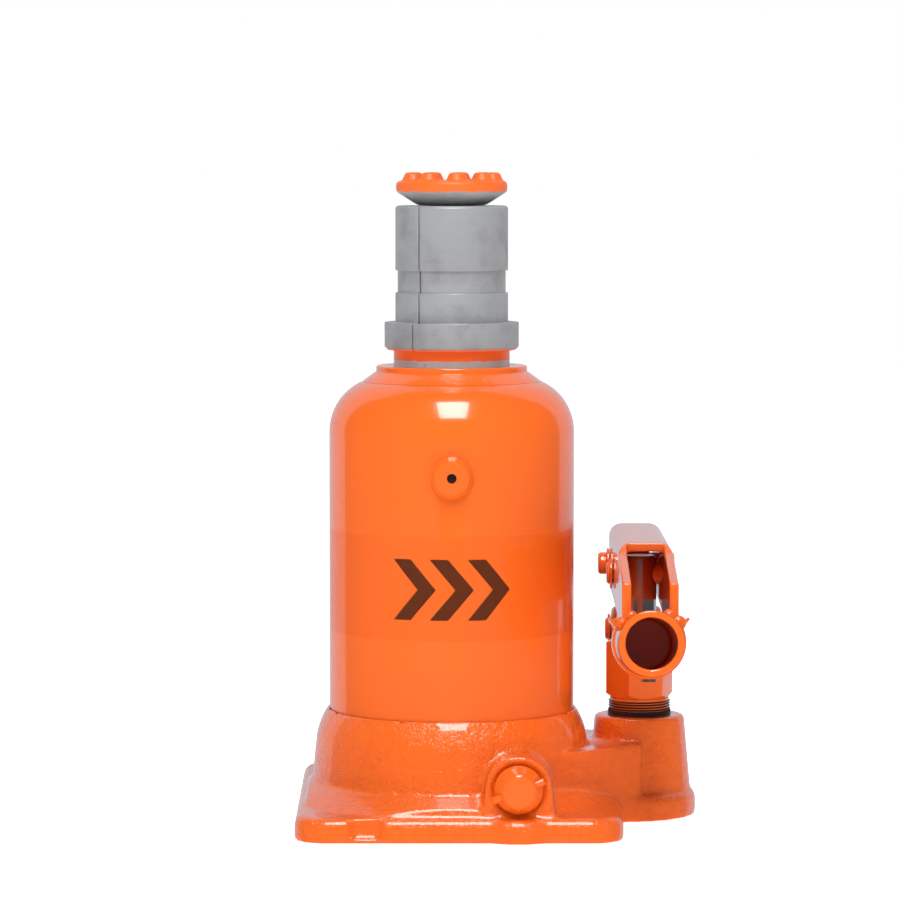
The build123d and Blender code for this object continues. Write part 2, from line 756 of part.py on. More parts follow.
def valve_plug(at):
    plug = disc(plug_radius - seat_fit, plug_recess, spring_low, at)
    socket = Pos(at[0], at[1], plug_recess) * extrude(RegularPolygon(2.5, 6), 3.0)
    return plug - socket


def valve_spring(at):
    return spring(2.6, 0.4, spring_low, spring_top, 4, at)


# ---- every piece, by name ------------------------------------------------------
pieces = {
    "base_casting": base_casting(),
    "tank_base_gasket": tank_base_gasket(),
    "tank_shell": tank_shell(),
    "filler_plug": filler_plug(),
    "top_nut": top_nut(),
    "top_nut_seal": top_nut_seal(),
    "ram_wiper": ram_wiper(),
    "cylinder_gasket": cylinder_gasket(),
    "pressure_cylinder": pressure_cylinder(),
    "first_ram": first_ram(),
    "first_ram_seal": ring_in_groove(first_foot_radius, first_seal_z, 6.0),
    "first_ram_bearing": ring_in_groove(first_foot_radius, first_bearing_z, 5.0),
    "head_collar": head_collar(),
    "collar_wiper": collar_wiper(),
    "second_ram": second_ram(),
    "second_ram_seal": ring_in_groove(second_foot_radius, second_seal_z, 6.0),
    "second_ram_bearing": ring_in_groove(second_foot_radius, second_bearing_z, 5.0),
    "second_ram_stop_ring": second_ram_stop_ring(),
    "screw_stop_ring": screw_stop_ring(),
    "extension_screw": extension_screw(),
    "saddle": saddle(),
    "pump_body": pump_body(),
    "pump_washer": pump_washer(),
    "pump_seat_washer": pump_seat_washer(),
    "pump_gland_seal": pump_gland_seal(),
    "pump_plunger": pump_plunger(),
    "lever_channel": lever_channel(),
    "handle_socket": handle_socket(),
    "spring_clip": spring_clip(),
    "clip_rivet": clip_rivet(),
    "plunger_pin": cross_pin(lever_half, plunger_pin_end, eye_y, eye_z),
    "plunger_pin_clips": pin_clips(lever_half, eye_y, eye_z),
    "fulcrum_pin": cross_pin(lever_half, fulcrum_pin_end, fulcrum_y, fulcrum_z),
    "fulcrum_pin_clips": pin_clips(lever_half, fulcrum_y, fulcrum_z),
    "fulcrum_link": fulcrum_link(),
    "link_base_pin": cross_pin(lug_half, base_pin_end, link_foot_y, link_foot_z),
    "link_base_pin_clips": pin_clips(lug_half, link_foot_y, link_foot_z),
    "release_screw": release_screw(),
    "release_cross_pin": release_cross_pin(),
    "release_oring": release_oring(),
    "release_ball": release_ball(),
    "suction_ball": valve_ball(pump_at),
    "suction_plug": valve_plug(pump_at),
    "delivery_ball": valve_ball_on_spring(delivery_at),
    "delivery_spring": valve_spring(delivery_at),
    "delivery_plug": valve_plug(delivery_at),
    "overload_ball": valve_ball_on_spring(overload_at),
    "overload_spring": valve_spring(overload_at),
    "overload_screw": valve_plug(overload_at),
}

os.makedirs("parts", exist_ok=True)
for name, shape in pieces.items():
    export_step(shape, f"parts/{name}.step")
    print(f"{name}: {shape.volume:.0f} mm3")
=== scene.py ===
import bpy
import json
import math
from mathutils import Matrix, Vector

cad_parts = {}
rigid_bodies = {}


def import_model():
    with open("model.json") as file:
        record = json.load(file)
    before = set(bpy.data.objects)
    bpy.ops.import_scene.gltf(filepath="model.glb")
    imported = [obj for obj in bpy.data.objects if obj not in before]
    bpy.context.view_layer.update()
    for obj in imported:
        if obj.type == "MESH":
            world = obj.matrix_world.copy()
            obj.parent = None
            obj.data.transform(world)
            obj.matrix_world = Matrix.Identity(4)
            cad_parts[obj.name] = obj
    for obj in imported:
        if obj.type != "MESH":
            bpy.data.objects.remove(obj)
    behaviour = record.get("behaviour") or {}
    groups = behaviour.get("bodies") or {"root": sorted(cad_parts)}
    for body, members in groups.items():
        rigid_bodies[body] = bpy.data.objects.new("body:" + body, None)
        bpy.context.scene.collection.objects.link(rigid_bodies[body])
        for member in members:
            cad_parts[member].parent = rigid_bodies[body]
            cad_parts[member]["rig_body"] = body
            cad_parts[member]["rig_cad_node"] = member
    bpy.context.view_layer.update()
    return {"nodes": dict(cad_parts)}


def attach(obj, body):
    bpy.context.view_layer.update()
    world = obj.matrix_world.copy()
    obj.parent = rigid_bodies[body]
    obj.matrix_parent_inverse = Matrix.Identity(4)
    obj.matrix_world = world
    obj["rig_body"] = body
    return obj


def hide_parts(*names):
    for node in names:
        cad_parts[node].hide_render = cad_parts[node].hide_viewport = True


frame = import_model()
cadNodes = frame["nodes"]
print("stage: frame loaded")
bpy.context.scene.view_settings.view_transform = "Standard"

# places of the pump and the lever's tube, as in the part, in metres
pumpX, pumpY = 0.0892, 0.016
mouthY, mouthZ, tubeTilt = -0.110, 0.095, math.radians(6.8)
saddleZ, screwFoot = 0.288957, 0.176757


# small helpers

def onlyThis(piece):
    bpy.ops.object.select_all(action="DESELECT")
    piece.select_set(True)
    bpy.context.view_layer.objects.active = piece


def applyMod(piece, kind, **values):
    onlyThis(piece)
    mod = piece.modifiers.new(kind.lower(), kind)
    for key, value in values.items():
        setattr(mod, key, value)
    bpy.ops.object.modifier_apply(modifier=mod.name)


def smoothBy(piece, degrees):
    onlyThis(piece)
    bpy.ops.object.shade_smooth_by_angle(angle=math.radians(degrees))


def cleanUp(piece, distance=0.00001):
    # doubles merged and the faces turned outwards
    onlyThis(piece)
    bpy.ops.object.mode_set(mode="EDIT")
    bpy.ops.mesh.select_all(action="SELECT")
    bpy.ops.mesh.remove_doubles(threshold=distance)
    bpy.ops.mesh.normals_make_consistent(inside=False)
    bpy.ops.object.mode_set(mode="OBJECT")


def softEdges(piece, width, segments=3, degrees=30):
    applyMod(piece, "BEVEL", width=width, segments=segments, limit_method="ANGLE",
             angle_limit=math.radians(degrees), use_clamp_overlap=True, harden_normals=False)
    smoothBy(piece, degrees)


def place(piece, at, tiltX=0.0, turnZ=0.0):
    # moves the mesh, so that the object stays at the origin
    piece.data.transform(Matrix.Translation(Vector(at)) @ Matrix.Rotation(turnZ, 4, "Z")
                         @ Matrix.Rotation(tiltX, 4, "X"))


def turnedPiece(name, outline, steps=128):
    # one vertex is drawn along the closed outline of (radius, height), then spun about Z
    start = (outline[0][0], 0, outline[0][1])
    bpy.ops.object.select_all(action="DESELECT")
    bpy.ops.mesh.primitive_plane_add(size=0.001, location=start)
    piece = bpy.context.object
    piece.name = name
    bpy.ops.object.transform_apply(location=True)
    bpy.ops.object.mode_set(mode="EDIT")
    bpy.ops.mesh.select_all(action="SELECT")
    bpy.ops.mesh.merge(type="CENTER")
    for (r0, z0), (r1, z1) in zip(outline, outline[1:]):
        bpy.ops.mesh.extrude_region_move(TRANSFORM_OT_translate={"value": (r1 - r0, 0, z1 - z0)})
    bpy.ops.mesh.select_all(action="SELECT")
    bpy.ops.mesh.edge_face_add()
    bpy.ops.mesh.delete(type="ONLY_FACE")
    bpy.ops.mesh.select_all(action="SELECT")
    bpy.ops.mesh.spin(steps=steps, angle=2 * math.pi, center=(0, 0, 0), axis=(0, 0, 1))
    bpy.ops.object.mode_set(mode="OBJECT")
    cleanUp(piece, 0.000002)
    return piece


def copyOfNode(node, name):
    # a free copy of a CAD node's mesh, merged, to be finished here
    onlyThis(cadNodes[node])
    bpy.ops.object.duplicate()
    piece = bpy.context.object
    piece.name = name
    piece.parent = None
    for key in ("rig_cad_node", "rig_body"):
        del piece[key]
    piece.matrix_world = Matrix.Identity(4)
    onlyThis(piece)
    bpy.ops.object.mode_set(mode="EDIT")
    bpy.ops.mesh.select_all(action="SELECT")
    bpy.ops.mesh.remove_doubles(threshold=0.00002)
    bpy.ops.mesh.dissolve_limited(angle_limit=math.radians(0.6))
    bpy.ops.object.mode_set(mode="OBJECT")
    return piece


def finishPiece(piece, body, slot, material, *nodes):
    piece.data.materials.clear()
    piece.data.materials.append(material)
    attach(piece, body)
    if nodes:
        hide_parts(*nodes)
    return piece


# camera, floor and light

cameraSetup = {"place": (-0.0008, -2.017, 0.311), "down": 3.885, "lens": 172.0}
lightSetup = {
    # name: (place, aimed at, width, height, watts, seen in the gloss)
    "topBox": ((0.02, -0.72, 1.30), (0.0, 0.0, 0.15), 0.50, 0.90, 16.0, True),
    "leftBox": ((-1.45, -1.05, 0.95), (0.0, 0.0, 0.14), 1.2, 1.6, 4.5, False),
    "rightBox": ((1.45, -1.45, 0.95), (0.0, 0.0, 0.12), 1.2, 1.6, 3.0, False),
}


def makeCamera():
    bpy.ops.object.camera_add(location=cameraSetup["place"],
                              rotation=(math.radians(90 - cameraSetup["down"]), 0, 0))
    camera = bpy.context.object
    camera.name = "camera"
    camera.data.lens = cameraSetup["lens"]
    camera.data.sensor_width = 36
    camera.data.clip_start = 0.01
    bpy.context.scene.camera = camera


def makeLights():
    for name, (spot, target, width, height, watts, glossy) in lightSetup.items():
        bpy.ops.object.light_add(type="AREA", location=spot)
        lamp = bpy.context.object
        lamp.name = name
        lamp.data.shape = "RECTANGLE"
        lamp.data.size, lamp.data.size_y = width, height
        lamp.data.energy = watts
        aim = Vector(target) - Vector(spot)
        lamp.rotation_euler = aim.to_track_quat("-Z", "Y").to_euler()
        lamp.visible_glossy = glossy
    world = bpy.context.scene.world or bpy.data.worlds.new("studio")
    bpy.context.scene.world = world
    world.use_nodes = True
    nodes, links = world.node_tree.nodes, world.node_tree.links
    nodes.clear()
    out = nodes.new("ShaderNodeOutputWorld")
    mix = nodes.new("ShaderNodeMixShader")
    seen = nodes.new("ShaderNodeBackground")
    fill = nodes.new("ShaderNodeBackground")
    dark = nodes.new("ShaderNodeBackground")
    glossMix = nodes.new("ShaderNodeMixShader")
    path = nodes.new("ShaderNodeLightPath")
    dark.inputs["Color"].default_value = (0.9, 0.93, 1.0, 1)
    dark.inputs["Strength"].default_value = 0.10
    seen.inputs["Color"].default_value = (1, 1, 1, 1)
    seen.inputs["Strength"].default_value = 1.0
    fill.inputs["Color"].default_value = (0.93, 0.95, 1.0, 1)
    fill.inputs["Strength"].default_value = 0.27
    links.new(path.outputs["Is Camera Ray"], mix.inputs[0])
    links.new(path.outputs["Is Glossy Ray"], glossMix.inputs[0])
    links.new(fill.outputs[0], glossMix.inputs[1])
    links.new(dark.outputs[0], glossMix.inputs[2])
    links.new(glossMix.outputs[0], mix.inputs[1])
    links.new(seen.outputs[0], mix.inputs[2])
    links.new(mix.outputs[0], out.inputs[0])


def makeFloor(material, wallMaterial):
    bpy.ops.mesh.primitive_plane_add(size=60, location=(0, 0, -0.0002))
    floor = bpy.context.object
    floor.name = "studioFloor"
    bpy.ops.mesh.primitive_plane_add(size=12, location=(0, 3.5, 3.0), rotation=(math.radians(90), 0, 0))
    wall = bpy.context.object
    wall.name = "studioWall"
    floor.visible_glossy = False
    wall.visible_camera = wall.visible_diffuse = wall.visible_shadow = False
    floor.data.materials.append(material)
    wall.data.materials.append(wallMaterial)


# materials

def newGroup(name, inputs, outputs):
    group = bpy.data.node_groups.new(name, "ShaderNodeTree")
    for label, kind, value in inputs:
        socket = group.interface.new_socket(name=label, in_out="INPUT", socket_type=kind)
        socket.default_value = value
    for label, kind in outputs:
        group.interface.new_socket(name=label, in_out="OUTPUT", socket_type=kind)
    return group, group.nodes.new("NodeGroupInput"), group.nodes.new("NodeGroupOutput")


def mathNode(tree, operation, first, second):
    node = tree.nodes.new("ShaderNodeMath")
    node.operation = operation
    for index, value in enumerate((first, second)):
        if isinstance(value, (int, float)):
            node.inputs[index].default_value = value
        else:
            tree.links.new(value, node.inputs[index])
    return node.outputs[0]


def noiseNode(tree, vector, scale, detail, roughness=0.5):
    node = tree.nodes.new("ShaderNodeTexNoise")
    node.inputs["Detail"].default_value = detail
    node.inputs["Roughness"].default_value = roughness
    tree.links.new(vector, node.inputs["Vector"])
    if isinstance(scale, (int, float)):
        node.inputs["Scale"].default_value = scale
    else:
        tree.links.new(scale, node.inputs["Scale"])
    return node.outputs["Fac"]


def rampNode(tree, value, low, high):
    node = tree.nodes.new("ShaderNodeMapRange")
    node.interpolation_type = "SMOOTHSTEP"
    node.inputs["From Min"].default_value = low
    node.inputs["From Max"].default_value = high
    tree.links.new(value, node.inputs["Value"])
    return node.outputs["Result"]


def paintGroup():
    # sprayed paint: soft tone drift, orange peel, casting lumps and dust specks
    group, used, out = newGroup("sprayedPaint", [
        ("Color", "NodeSocketColor", (0.8, 0.2, 0.02, 1)), ("Deep", "NodeSocketColor", (0.5, 0.1, 0.01, 1)),
        ("Peel", "NodeSocketFloat", 0.2), ("Lumps", "NodeSocketFloat", 0.0),
        ("Streaks", "NodeSocketFloat", 0.0), ("Gloss", "NodeSocketFloat", 0.16)],
        [("Color", "NodeSocketColor"), ("Roughness", "NodeSocketFloat"), ("Height", "NodeSocketFloat")])
    coords = group.nodes.new("ShaderNodeTexCoord").outputs["Object"]
    drift = noiseNode(group, coords, 14.0, 2.0)
    peel = noiseNode(group, coords, 900.0, 1.0)
    lumps = noiseNode(group, coords, 210.0, 4.0, 0.6)
    pits = noiseNode(group, coords, 520.0, 2.0, 0.7)
    stretch = group.nodes.new("ShaderNodeMapping")
    stretch.inputs["Scale"].default_value = (420.0, 420.0, 45.0)
    group.links.new(coords, stretch.inputs["Vector"])
    streaks = noiseNode(group, stretch.outputs[0], 1.0, 2.0)
    speck = rampNode(group, noiseNode(group, coords, 1400.0, 0.0), 0.79, 0.83)
    # height
    height = mathNode(group, "MULTIPLY", peel, used.outputs["Peel"])
    rough = mathNode(group, "ADD", lumps, mathNode(group, "MULTIPLY", pits, 0.45))
    height = mathNode(group, "ADD", height, mathNode(group, "MULTIPLY", rough, used.outputs["Lumps"]))
    height = mathNode(group, "ADD", height,
                      mathNode(group, "MULTIPLY", streaks, used.outputs["Streaks"]))
    group.links.new(height, out.inputs["Height"])
    # colour
    mix = group.nodes.new("ShaderNodeMix")
    mix.data_type = "RGBA"
    shade = mathNode(group, "MULTIPLY", mathNode(group, "SUBTRACT", 1.0, rampNode(group, lumps, 0.2, 0.62)),
                     used.outputs["Lumps"])
    shade = mathNode(group, "MULTIPLY", shade, 0.22)
    shade = mathNode(group, "ADD", mathNode(group, "MULTIPLY", drift, 0.16), shade)
    group.links.new(mathNode(group, "ADD", shade, mathNode(group, "MULTIPLY", speck, 0.25)),
                    mix.inputs["Factor"])
    group.links.new(used.outputs["Color"], mix.inputs["A"])
    group.links.new(used.outputs["Deep"], mix.inputs["B"])
    group.links.new(mix.outputs["Result"], out.inputs["Color"])
    # gloss
    wander = mathNode(group, "MULTIPLY", mathNode(group, "SUBTRACT", drift, 0.5), 0.10)
    wander = mathNode(group, "ADD", wander, mathNode(group, "MULTIPLY", speck, 0.2))
    group.links.new(mathNode(group, "ADD", used.outputs["Gloss"], wander), out.inputs["Roughness"])
    return group


def steelGroup():
    # turned steel: rings round the Z axis, faint scratches and finger haze
    group, used, out = newGroup("turnedSteel", [
        ("Color", "NodeSocketColor", (0.6, 0.6, 0.6, 1)), ("Stain", "NodeSocketColor", (0.4, 0.39, 0.37, 1)),
        ("Rings", "NodeSocketFloat", 0.5), ("Gloss", "NodeSocketFloat", 0.3)],
        [("Color", "NodeSocketColor"), ("Roughness", "NodeSocketFloat"), ("Height", "NodeSocketFloat")])
    coords = group.nodes.new("ShaderNodeTexCoord").outputs["Object"]
    flat = group.nodes.new("ShaderNodeMapping")
    flat.inputs["Scale"].default_value = (18.0, 18.0, 2600.0)
    group.links.new(coords, flat.inputs["Vector"])
    rings = noiseNode(group, flat.outputs[0], 1.0, 3.0, 0.65)
    tall = group.nodes.new("ShaderNodeMapping")
    tall.inputs["Scale"].default_value = (320.0, 320.0, 30.0)
    group.links.new(coords, tall.inputs["Vector"])
    scratch = noiseNode(group, tall.outputs[0], 1.0, 2.0, 0.6)
    haze = noiseNode(group, coords, 60.0, 4.0, 0.6)
    fine = noiseNode(group, coords, 1500.0, 2.0)
    height = mathNode(group, "MULTIPLY", rings, used.outputs["Rings"])
    height = mathNode(group, "ADD", height, mathNode(group, "MULTIPLY", scratch, 0.2))
    height = mathNode(group, "ADD", height, mathNode(group, "MULTIPLY", fine, 0.25))
    group.links.new(height, out.inputs["Height"])
    mix = group.nodes.new("ShaderNodeMix")
    mix.data_type = "RGBA"
    tone = mathNode(group, "ADD", mathNode(group, "MULTIPLY", rampNode(group, haze, 0.4, 0.75), 0.5),
                    mathNode(group, "MULTIPLY", rings, 0.35))
    group.links.new(tone, mix.inputs["Factor"])
    group.links.new(used.outputs["Color"], mix.inputs["A"])
    group.links.new(used.outputs["Stain"], mix.inputs["B"])
    group.links.new(mix.outputs["Result"], out.inputs["Color"])
    gloss = mathNode(group, "ADD", used.outputs["Gloss"], mathNode(group, "MULTIPLY", haze, 0.16))
    group.links.new(gloss, out.inputs["Roughness"])
    return group


def dressed(name, group, values, height, metallic=0.0, coat=0.0, specular=0.5):
    # a material from one of the groups, with its values and the bump's height in metres
    material = bpy.data.materials.new(name)
    material.use_nodes = True
    tree = material.node_tree
    shader = tree.nodes["Principled BSDF"]
    used = tree.nodes.new("ShaderNodeGroup")
    used.node_tree = group
    for key, value in values.items():
        used.inputs[key].default_value = value
    bump = tree.nodes.new("ShaderNodeBump")
    bump.inputs["Distance"].default_value = height
    bump.inputs["Strength"].default_value = 1.0
    tree.links.new(used.outputs["Color"], shader.inputs["Base Color"])
    tree.links.new(used.outputs["Roughness"], shader.inputs["Roughness"])
    tree.links.new(used.outputs["Height"], bump.inputs["Height"])
    tree.links.new(bump.outputs["Normal"], shader.inputs["Normal"])
    shader.inputs["Metallic"].default_value = metallic
    shader.inputs["Coat Weight"].default_value = coat
    shader.inputs["Coat Roughness"].default_value = 0.04
    shader.inputs["Specular IOR Level"].default_value = specular
    return material


paintValues = {"Color": (0.90, 0.145, 0.012, 1), "Deep": (0.62, 0.065, 0.004, 1)}
paint = paintGroup()
steel = steelGroup()
tankPaint = dressed("tankPaint", paint, {**paintValues, "Peel": 0.10, "Gloss": 0.20}, 0.00005, coat=0.8)
partPaint = dressed("partPaint", paint, {**paintValues, "Peel": 0.25, "Lumps": 0.12, "Gloss": 0.20},
                    0.0001, coat=0.9)
castPaint = dressed("castPaint", paint, {**paintValues, "Peel": 0.35, "Lumps": 0.9, "Streaks": 0.35,
                                         "Gloss": 0.16}, 0.0011, coat=1.0)
groundSteel = dressed("groundSteel", steel, {"Color": (0.62, 0.63, 0.64, 1), "Stain": (0.45, 0.45, 0.44, 1),
                                             "Rings": 0.15, "Gloss": 0.12}, 0.00001, metallic=1.0)
zincSteel = dressed("zincSteel", steel, {"Color": (0.66, 0.65, 0.60, 1), "Stain": (0.45, 0.43, 0.36, 1),
                                         "Rings": 0.1, "Gloss": 0.30}, 0.00002, metallic=1.0)
copperSoft = dressed("copperSoft", steel, {"Color": (0.74, 0.36, 0.20, 1), "Stain": (0.35, 0.15, 0.08, 1),
                                           "Rings": 0.1, "Gloss": 0.32}, 0.00002, metallic=1.0)
# black rubber for the seals, also used for the painted shade disc at the end of the filler plug's hole
rubberAndShadeBlack = dressed("rubberAndShadeBlack", paint, {"Color": (0.012, 0.012, 0.013, 1), "Deep": (0.03, 0.03, 0.03, 1),
                                             "Peel": 0.5, "Lumps": 0.2, "Gloss": 0.55}, 0.00006)
nylonCream = dressed("nylonCream", paint, {"Color": (0.72, 0.68, 0.55, 1), "Deep": (0.5, 0.45, 0.33, 1),
                                           "Peel": 0.3, "Gloss": 0.42}, 0.00004)
floorPaper = dressed("floorPaper", paint, {"Color": (0.92, 0.92, 0.92, 1), "Deep": (0.86, 0.86, 0.87, 1),
                                           "Peel": 0.2, "Gloss": 0.45}, 0.00002, specular=0.3)
floorShader = floorPaper.node_tree.nodes["Principled BSDF"]
floorShader.inputs["Emission Color"].default_value = (1, 1, 1, 1)
floorShader.inputs["Emission Strength"].default_value = 0.82
wallPaper = bpy.data.materials.new("wallPaper")
wallPaper.use_nodes = True
wallShader = wallPaper.node_tree.nodes["Principled BSDF"]
wallShader.inputs["Base Color"].default_value = (0, 0, 0, 1)
wallShader.inputs["Emission Color"].default_value = (0.93, 0.92, 1.0, 1)
wallShader.inputs["Emission Strength"].default_value = 0.62


bandSetup = {"bump": 0.00002, "metallic": 0.9, "wobbleScale": 260.0, "wobble": 0.0012}


def banded(name, values, low, high, painted, metallic=bandSetup["metallic"]):
    # bare steel and paint on one piece, parted by height; painted is true for paint above the line
    material = dressed(name, steel, values, bandSetup["bump"], metallic=bandSetup["metallic"])
    tree = material.node_tree
    shader = tree.nodes["Principled BSDF"]
    coat = tree.nodes.new("ShaderNodeGroup")
    coat.node_tree = paint
    for key, value in {**paintValues, "Peel": 0.25, "Gloss": 0.2}.items():
        coat.inputs[key].default_value = value
    coords = tree.nodes.new("ShaderNodeTexCoord").outputs["Object"]
    split = tree.nodes.new("ShaderNodeSeparateXYZ")
    tree.links.new(coords, split.inputs[0])
    wander = mathNode(tree, "SUBTRACT", noiseNode(tree, coords, bandSetup["wobbleScale"], 3.0), 0.5)
    wobble = mathNode(tree, "MULTIPLY", wander, bandSetup["wobble"])
    line = mathNode(tree, "ADD", split.outputs["Z"], wobble)
    share = rampNode(tree, line, low, high)
    if not painted:
        share = mathNode(tree, "SUBTRACT", 1.0, share)
    mix = tree.nodes.new("ShaderNodeMix")
    mix.data_type = "RGBA"
    tree.links.new(share, mix.inputs["Factor"])
    tree.links.new(shader.inputs["Base Color"].links[0].from_socket, mix.inputs["A"])
    tree.links.new(coat.outputs["Color"], mix.inputs["B"])
    tree.links.new(mix.outputs["Result"], shader.inputs["Base Color"])
    metal = mathNode(tree, "MULTIPLY", mathNode(tree, "SUBTRACT", 1.0, share), metallic)
    tree.links.new(metal, shader.inputs["Metallic"])
    return material


neckSteel = banded("neckSteel", {"Color": (0.60, 0.61, 0.62, 1), "Stain": (0.42, 0.42, 0.41, 1),
                                 "Rings": 0.2, "Gloss": 0.22}, 0.2166, 0.2170, True, 0.3)
saddlePaint = banded("saddlePaint", {"Color": (0.42, 0.42, 0.42, 1), "Stain": (0.25, 0.24, 0.23, 1),
                                     "Rings": 0.3, "Gloss": 0.34}, 0.2951, 0.2956, True, 0.15)
collarSteel = banded("collarSteel", {"Color": (0.40, 0.41, 0.42, 1), "Stain": (0.22, 0.22, 0.22, 1),
                                     "Rings": 0.7, "Gloss": 0.34}, 0.2215, 0.2226, False, 0.25)
printBlack = dressed("printBlack", paint, {"Color": (0.006, 0.006, 0.006, 1), "Deep": (0.01, 0.01, 0.01, 1),
                                           "Peel": 0.1, "Gloss": 0.3}, 0.00001)
filmClear = bpy.data.materials.new("filmClear")
filmClear.use_nodes = True
filmShader = filmClear.node_tree.nodes["Principled BSDF"]
filmShader.inputs["Base Color"].default_value = (0.85, 0.16, 0.02, 1)
filmShader.inputs["Alpha"].default_value = 0.06
filmShader.inputs["Roughness"].default_value = 0.06
print("stage: materials made")
makeCamera()
makeLights()
makeFloor(floorPaper, wallPaper)


# pieces finished from their CAD nodes: name, node, body, slot, material, edge width, angle
softened = {
    "tankShell": ("tank_shell", "frame", "orange_paint", tankPaint, 0.0004, 25),
    "secondRam": ("second_ram", "second_stage", "ground_steel", groundSteel, 0.0003, 35),
    "topNut": ("top_nut", "frame", "orange_paint", tankPaint, 0.0005, 20),
    "fillerPlug": ("filler_plug", "frame", "orange_paint", partPaint, 0.0004, 25),
    "headCollar": ("head_collar", "first_stage", "turned_steel", collarSteel, 0.00025, 35),
    "firstRam": ("first_ram", "first_stage", "ground_steel", neckSteel, 0.0002, 40),
    "pumpHexagon": ("pump_body", "frame", "orange_paint", partPaint, 0.0006, 22),
    "clipStrap": ("spring_clip", "lever", "orange_paint", partPaint, 0.0003, 35),
    "linkBar": ("fulcrum_link", "link", "orange_paint", partPaint, 0.0009, 35),
    "plungerPin": ("plunger_pin", "lever", "orange_paint", partPaint, 0.0005, 35),
    "plungerClips": ("plunger_pin_clips", "lever", "orange_paint", partPaint, 0.0002, 35),
    "fulcrumPin": ("fulcrum_pin", "lever", "orange_paint", partPaint, 0.0005, 35),
    "fulcrumClips": ("fulcrum_pin_clips", "lever", "orange_paint", partPaint, 0.0002, 35),
    "linkPin": ("link_base_pin", "frame", "orange_paint", partPaint, 0.0005, 35),
    "linkPinClips": ("link_base_pin_clips", "frame", "orange_paint", partPaint, 0.0002, 35),
    "releaseHead": ("release_screw", "release_valve", "orange_paint", partPaint, 0.0005, 25),
    "releaseBar": ("release_cross_pin", "release_valve", "orange_paint", partPaint, 0.0004, 35),
    "plungerRod": ("pump_plunger", "plunger", "ground_steel", groundSteel, 0.0002, 35),
}


footStop = {"height": 0.039957, "room": 0.00004}


def makeSoftened():
    for name, (node, body, slot, material, width, degrees) in softened.items():
        piece = copyOfNode(node, name)
        softEdges(piece, width, 3, degrees)
        if name == "firstRam":
            # the foot stops just short of the nut, so that the two faces never share a plane
            for vertex in piece.data.vertices:
                if abs(vertex.co.z - footStop["height"]) < footStop["room"]:
                    vertex.co.z -= footStop["room"]
        finishPiece(piece, body, slot, material, node)


# pieces whose corners have run round, sand-cast or thickly painted: voxel size, smoothing passes

meltSetup = {
    "baseCast": ("base_casting", "frame", "painted_casting", castPaint, 0.0012, 7),
    "leverPlates": ("lever_channel", "lever", "orange_paint", partPaint, 0.0007, 7),
    "handleTube": ("handle_socket", "lever", "orange_paint", partPaint, 0.0006, 7),
    "saddleCrown": ("saddle", "screw", "orange_paint", saddlePaint, 0.0006, 26),
}


def makeMelted():
    for name, (node, body, slot, material, voxel, passes) in meltSetup.items():
        piece = copyOfNode(node, name)
        applyMod(piece, "REMESH", mode="VOXEL", voxel_size=voxel, use_smooth_shade=True)
        applyMod(piece, "SMOOTH", factor=0.5, iterations=passes)
        finishPiece(piece, body, slot, material, node)


# pump neck: the thread that shows between the boss and the hexagon

neckSetup = {"low": 0.0497, "high": 0.0545, "root": 0.0136, "crest": 0.0147, "rings": 4,
             "bore": 0.0125}


def makePumpNeck():
    setup = neckSetup
    pitch = (setup["high"] - setup["low"]) / setup["rings"]
    outline = [(setup["bore"], setup["low"])]
    for step in range(setup["rings"]):
        z = setup["low"] + step * pitch
        outline += [(setup["root"], z), (setup["crest"], z + 0.5 * pitch)]
    outline += [(setup["root"], setup["high"]), (setup["bore"], setup["high"])]
    piece = turnedPiece("pumpNeckThread", outline, 96)
    place(piece, (pumpX, pumpY, 0))
    return finishPiece(piece, "frame", "black_rubber", rubberAndShadeBlack)


# filler plug: a black disc at the end of its hole, which is painted shade

plugHoleShadeSetup = {"radius": 0.00215, "deep": 0.0006, "front": 0.0593, "height": 0.165}


def makePlugHoleShade():
    setup = plugHoleShadeSetup
    bpy.ops.mesh.primitive_cylinder_add(vertices=48, radius=setup["radius"], depth=setup["deep"])
    piece = bpy.context.object
    piece.name = "plugHoleShadeDisc"
    place(piece, (0, -setup["front"], setup["height"]), math.radians(90))
    # the disc is black only as painted shade in the hole, not as a rubber part of the plug
    return finishPiece(piece, "frame", "black_rubber", rubberAndShadeBlack)


# weld beads where the lever's plates meet the tube, lumpy and painted over

beadSetup = {"start": -0.0955, "end": -0.0375, "step": 0.0027, "size": 0.0027, "tall": 1.25,
             "lines": ((-0.0127, 0.0094), (0.0127, 0.0094), (-0.0084, 0.0124), (0.0084, 0.0124)),
             "voxel": 0.0005}


def makeBeads():
    setup = beadSetup
    balls = []
    bpy.ops.object.select_all(action="DESELECT")
    count = int((setup["end"] - setup["start"]) / setup["step"])
    for side, rise in setup["lines"]:
        for step in range(count + 1):
            y = setup["start"] + step * setup["step"]
            along = y - mouthY
            z = mouthZ - along * math.tan(tubeTilt) + rise
            swell = 1 + 0.16 * math.sin(step * 2.3 + 90 * side) + 0.10 * math.sin(step * 5.1)
            swell *= 1.15 if step == 0 else 0.9
            bpy.ops.mesh.primitive_uv_sphere_add(segments=16, ring_count=10, radius=setup["size"] * swell,
                                                 location=(pumpX + side, y, z))
            balls.append(bpy.context.object)
    bpy.ops.object.select_all(action="DESELECT")
    for ball in balls:
        ball.select_set(True)
    bpy.context.view_layer.objects.active = balls[0]
    bpy.ops.object.join()
    piece = bpy.context.object
    piece.name = "weldBeads"
    onlyThis(piece)
    bpy.ops.object.transform_apply(location=True, rotation=True, scale=True)
    applyMod(piece, "REMESH", mode="VOXEL", voxel_size=setup["voxel"], use_smooth_shade=True)
    applyMod(piece, "SMOOTH", factor=0.5, iterations=3)
    return finishPiece(piece, "lever", "orange_paint", castPaint)


# extension screw: a core with one helical ridge

